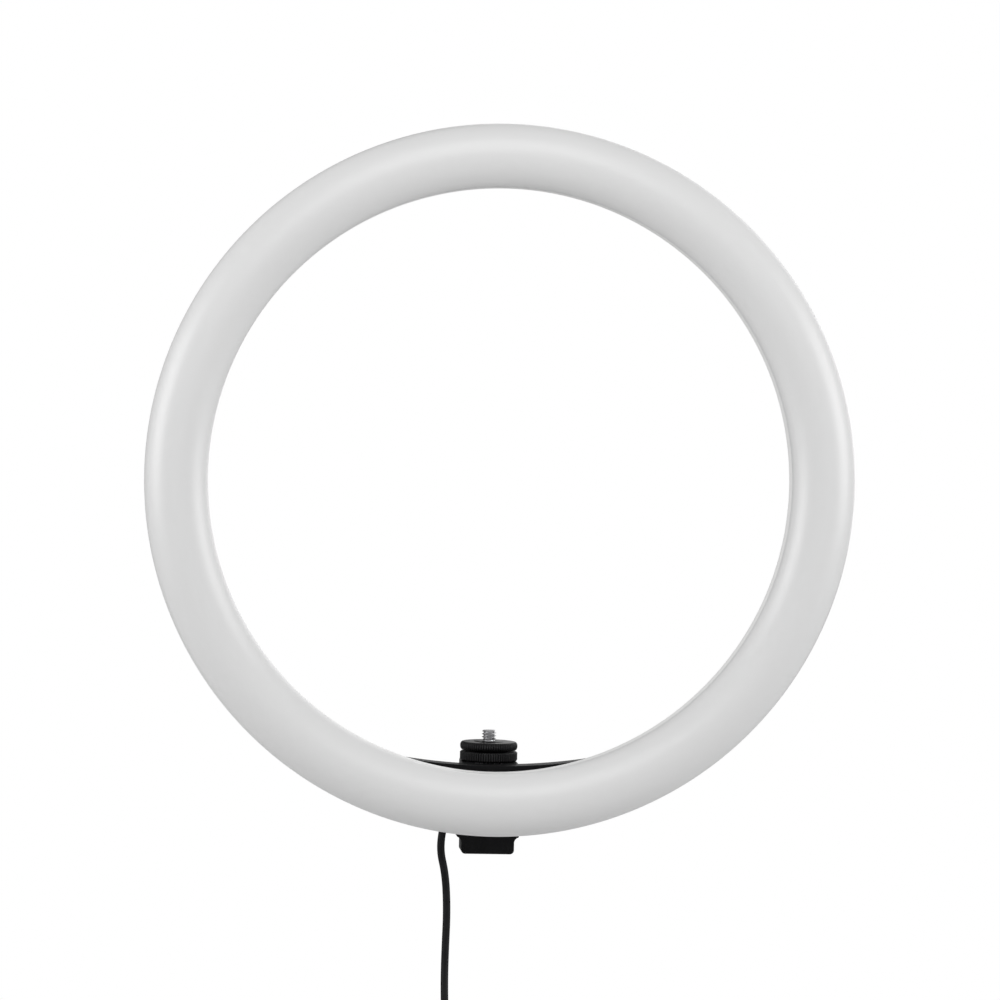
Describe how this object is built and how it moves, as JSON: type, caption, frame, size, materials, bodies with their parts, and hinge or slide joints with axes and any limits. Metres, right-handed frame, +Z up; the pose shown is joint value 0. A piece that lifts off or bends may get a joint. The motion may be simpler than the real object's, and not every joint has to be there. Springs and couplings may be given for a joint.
{
  "type": "ring light",
  "caption": "Ring light head with a domed opal front, rear controls, a shoe adapter with thumb wheels, a tilting foot with a tripod thread, and a coiled power cord.",
  "frame": {"origin": "mouth of the tripod thread, at the centre of the foot's bottom face", "axes": "+Z up, -Y out of the lit face, +X to the right of someone who faces the light"},
  "size_m": [0.305, 0.0604, 0.4883],
  "materials": {
    "opal_diffuser": "satin opal polycarbonate",
    "white_shell": "satin white moulded plastic",
    "white_board": "white solder mask",
    "led_chip": "yellow phosphor",
    "steel_screw": "bright zinc",
    "black_screw": "black oxide",
    "red_wire": "insulated wire",
    "black_housing": "fine spark texture",
    "green_board": "green solder mask",
    "component_black": "moulded component",
    "zinc_part": "zinc plated",
    "black_knob": "matt nylon",
    "black_bracket": "glass-filled nylon",
    "black_anodised": "black anodised",
    "bright_steel": "machined",
    "brass_bush": "machined",
    "nylon_washer": "natural nylon",
    "cord_rubber": "matt sheath",
    "tie_strap": "hook-and-loop strap",
    "plug_plastic": "satin moulding",
    "plug_steel": "nickel plated",
    "plug_tongue": "white insulator",
    "button_rubber": "soft-touch cap"
  },
  "bodies": {
    "foot": {"foot_clevis": "black_bracket", "thread_bush": "brass_bush", "tilt_bolt": "zinc_part", "friction_washers": "nylon_washer", "knob_washer": "zinc_part"},
    "tilt_handle": {"tilt_knob": "black_knob", "tilt_knob_nut": "brass_bush"},
    "head": {"front_diffuser": "opal_diffuser", "rear_shell": "white_shell", "led_board": "white_board", "led_chips": "led_chip", "board_screws": "steel_screw", "shell_screws": "steel_screw", "led_leads": "red_wire", "housing_body": "black_housing", "housing_back": "black_housing", "mount_screws": "steel_screw", "end_screws": "black_screw", "control_board": "green_board", "board_parts": "component_black", "power_leads": "red_wire", "tact_switches": "component_black", "dimmer_pot": "zinc_part", "head_bracket": "black_bracket", "bracket_screws": "black_screw", "cold_shoe": "black_anodised", "shoe_screws": "steel_screw", "cord_boot": "cord_rubber", "cord_lead": "cord_rubber", "cord_coil": "cord_rubber", "cord_tail": "cord_rubber", "coil_tie": "tie_strap", "plug_grip": "plug_plastic", "plug_shell": "plug_steel", "plug_tongue": "plug_tongue"},
    "adapter": {"shoe_plate": "black_anodised", "top_stud": "bright_steel"},
    "lower_thumb_wheel": {"lower_wheel": "black_anodised"},
    "upper_thumb_wheel": {"upper_wheel": "black_anodised"},
    "dimmer": {"dimmer_shaft": "zinc_part", "dimmer_knob": "black_knob"},
    "power_key": {"power_button": "button_rubber"},
    "warm_key": {"warm_button": "button_rubber"},
    "cool_key": {"cool_button": "button_rubber"}
  },
  "joints": [
    {"name": "tilt", "type": "hinge", "parent": "foot", "child": "head", "pos_m": [0, 0, 0.021], "axis": [-1, 0, 0], "range_deg": [-30, 90]},
    {"name": "tilt_knob_turn", "type": "hinge", "parent": "foot", "child": "tilt_handle", "pos_m": [0.02, 0, 0.021], "axis": [1, 0, 0], "range_deg": [0, 270]},
    {"name": "adapter_slide", "type": "slide", "parent": "head", "child": "adapter", "axis": [0, 1, 0], "range_m": [0, 0.02]},
    {"name": "lower_wheel_turn", "type": "hinge", "parent": "adapter", "child": "lower_thumb_wheel", "pos_m": [0, 0, 0.0425], "axis": [0, 0, 1], "continuous": true},
    {"name": "upper_wheel_turn", "type": "hinge", "parent": "adapter", "child": "upper_thumb_wheel", "pos_m": [0, 0, 0.0469], "axis": [0, 0, 1], "continuous": true},
    {"name": "dimmer_turn", "type": "hinge", "parent": "head", "child": "dimmer", "pos_m": [0.038, -0.009, 0.03281], "axis": [0, 1, 0], "range_deg": [-150, 150]},
    {"name": "power_press", "type": "slide", "parent": "head", "child": "power_key", "axis": [0, -1, 0], "range_m": [0, 0.0005], "stiffness_N_per_m": 400},
    {"name": "warm_press", "type": "slide", "parent": "head", "child": "warm_key", "axis": [0, -1, 0], "range_m": [0, 0.0005], "stiffness_N_per_m": 400},
    {"name": "cool_press", "type": "slide", "parent": "head", "child": "cool_key", "axis": [0, -1, 0], "range_m": [0, 0.0005], "stiffness_N_per_m": 400}
  ]
}
